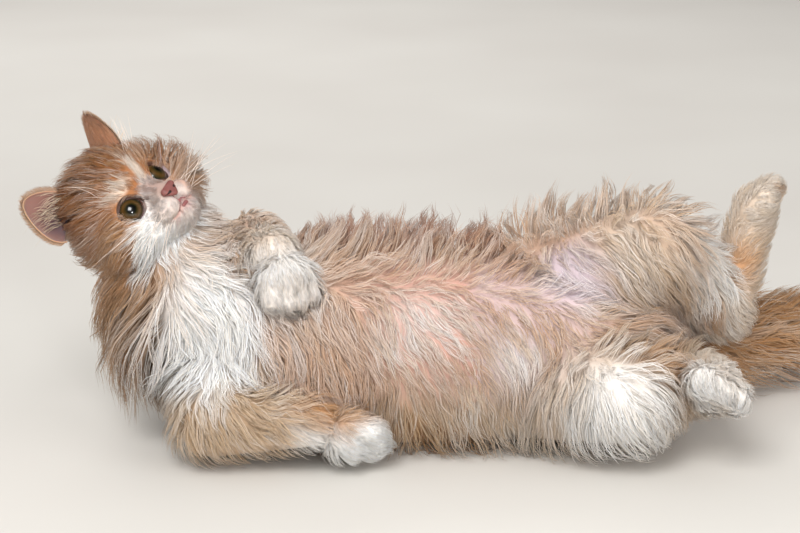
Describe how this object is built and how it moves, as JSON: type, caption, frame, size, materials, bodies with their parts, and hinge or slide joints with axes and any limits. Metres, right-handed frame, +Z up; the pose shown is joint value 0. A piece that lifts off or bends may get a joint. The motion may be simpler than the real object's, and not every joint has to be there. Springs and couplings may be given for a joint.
{
  "type": "persian cat",
  "caption": "Long-haired kitten lying on its back, head raised, forelegs folded and hind legs in the air, as a still life-size model.",
  "frame": {"origin": "on the floor, at the resting flat of the abdomen, under the middle of the trunk", "axes": "+X from the head to the tail, +Z up, and the belly is turned up and towards -Y"},
  "size_m": [0.5704, 0.2368, 0.2046],
  "materials": {
    "white_coat": "soft off-white to cream fur",
    "cream_coat": "soft ginger-cream fur",
    "ear": "short fur over thin pink skin",
    "eye": "wet and clear over an amber-brown iris",
    "nose_leather": "moist pink leather"
  },
  "bodies": {
    "root": {"abdomen": "white_coat", "chest": "white_coat", "neck": "white_coat", "head": "cream_coat", "eye_right": "eye", "eye_left": "eye", "ear_right": "ear", "ear_left": "ear", "nose": "nose_leather", "thigh_right": "white_coat", "shank_right": "white_coat", "hind_foot_right": "white_coat", "paw_hind_right": "white_coat", "upper_arm_right": "white_coat", "forearm_right": "white_coat", "paw_fore_right": "white_coat", "thigh_left": "white_coat", "shank_left": "white_coat", "hind_foot_left": "white_coat", "paw_hind_left": "white_coat", "upper_arm_left": "white_coat", "forearm_left": "white_coat", "paw_fore_left": "white_coat", "tail_root": "cream_coat", "tail_middle": "cream_coat", "tail_end": "cream_coat"}
  },
  "joints": []
}
